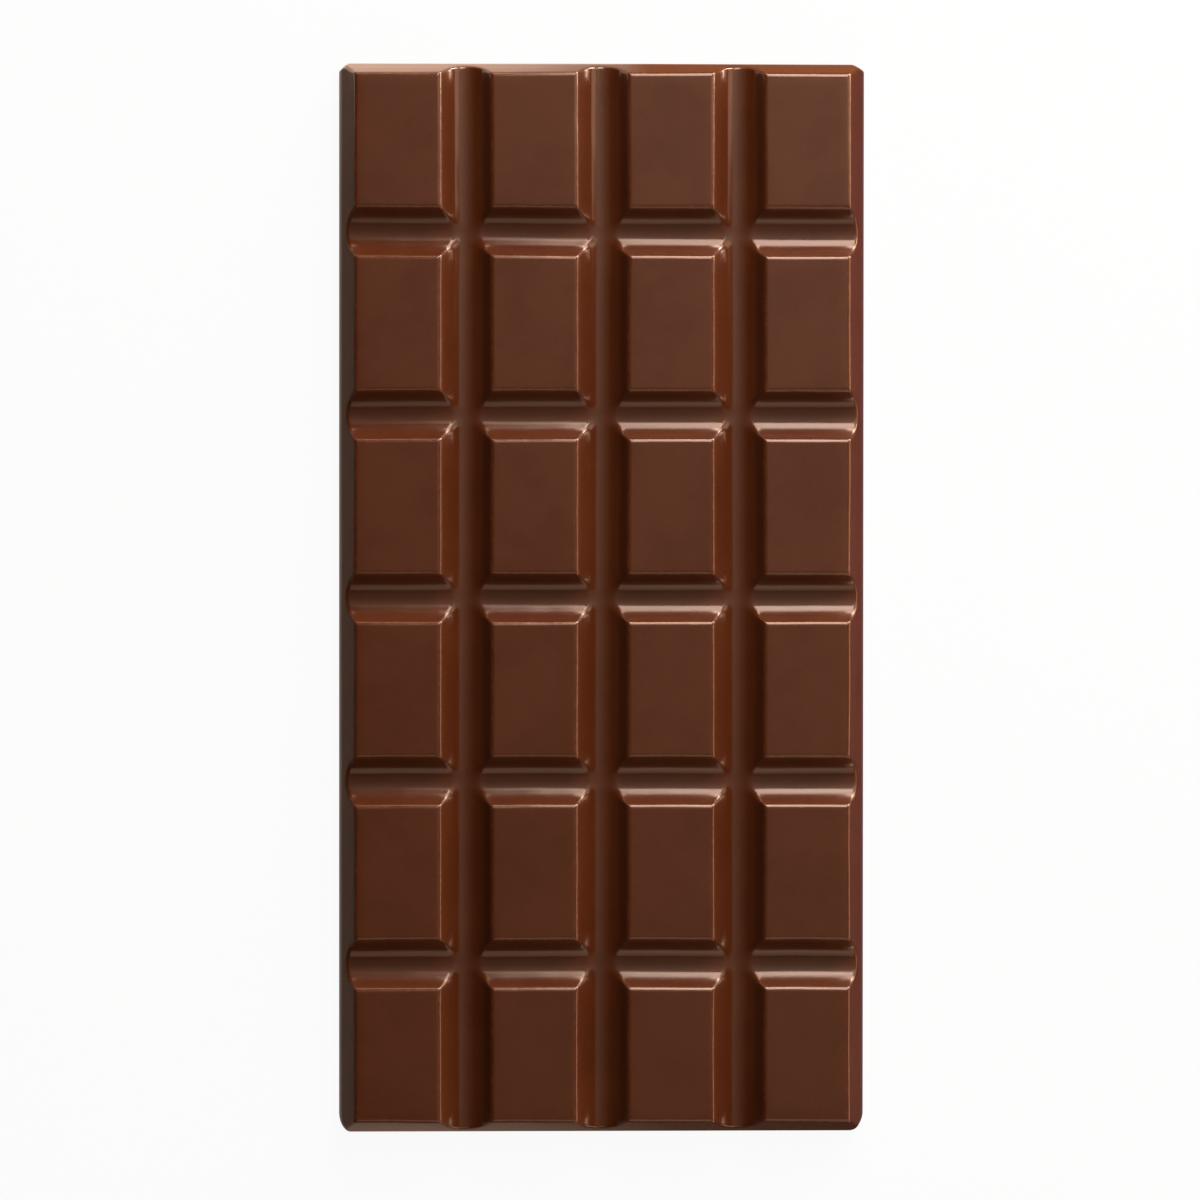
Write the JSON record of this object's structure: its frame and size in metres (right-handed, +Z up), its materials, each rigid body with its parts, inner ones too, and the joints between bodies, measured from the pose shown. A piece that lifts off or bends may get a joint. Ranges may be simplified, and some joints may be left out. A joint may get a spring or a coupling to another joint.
{
  "type": "chocolate bar",
  "caption": "Flat oblong tablet of moulded chocolate: rows of raised oblong blocks parted by round-bottomed snapping grooves, sloping shoulders all round and a flat underside.",
  "frame": {"origin": "middle of the flat underside, on the surface that the bar lies on", "axes": "+X across the bar, along its short side; +Y along its long side; +Z up, out of the side with the blocks"},
  "size_m": [0.078, 0.1588, 0.0076],
  "materials": {
    "chocolate": "milk chocolate straight from the mould: a smooth satin-gloss brown on top, duller and slightly uneven underneath"
  },
  "bodies": {
    "root": {"chocolate_bar": "chocolate"}
  },
  "joints": []
}
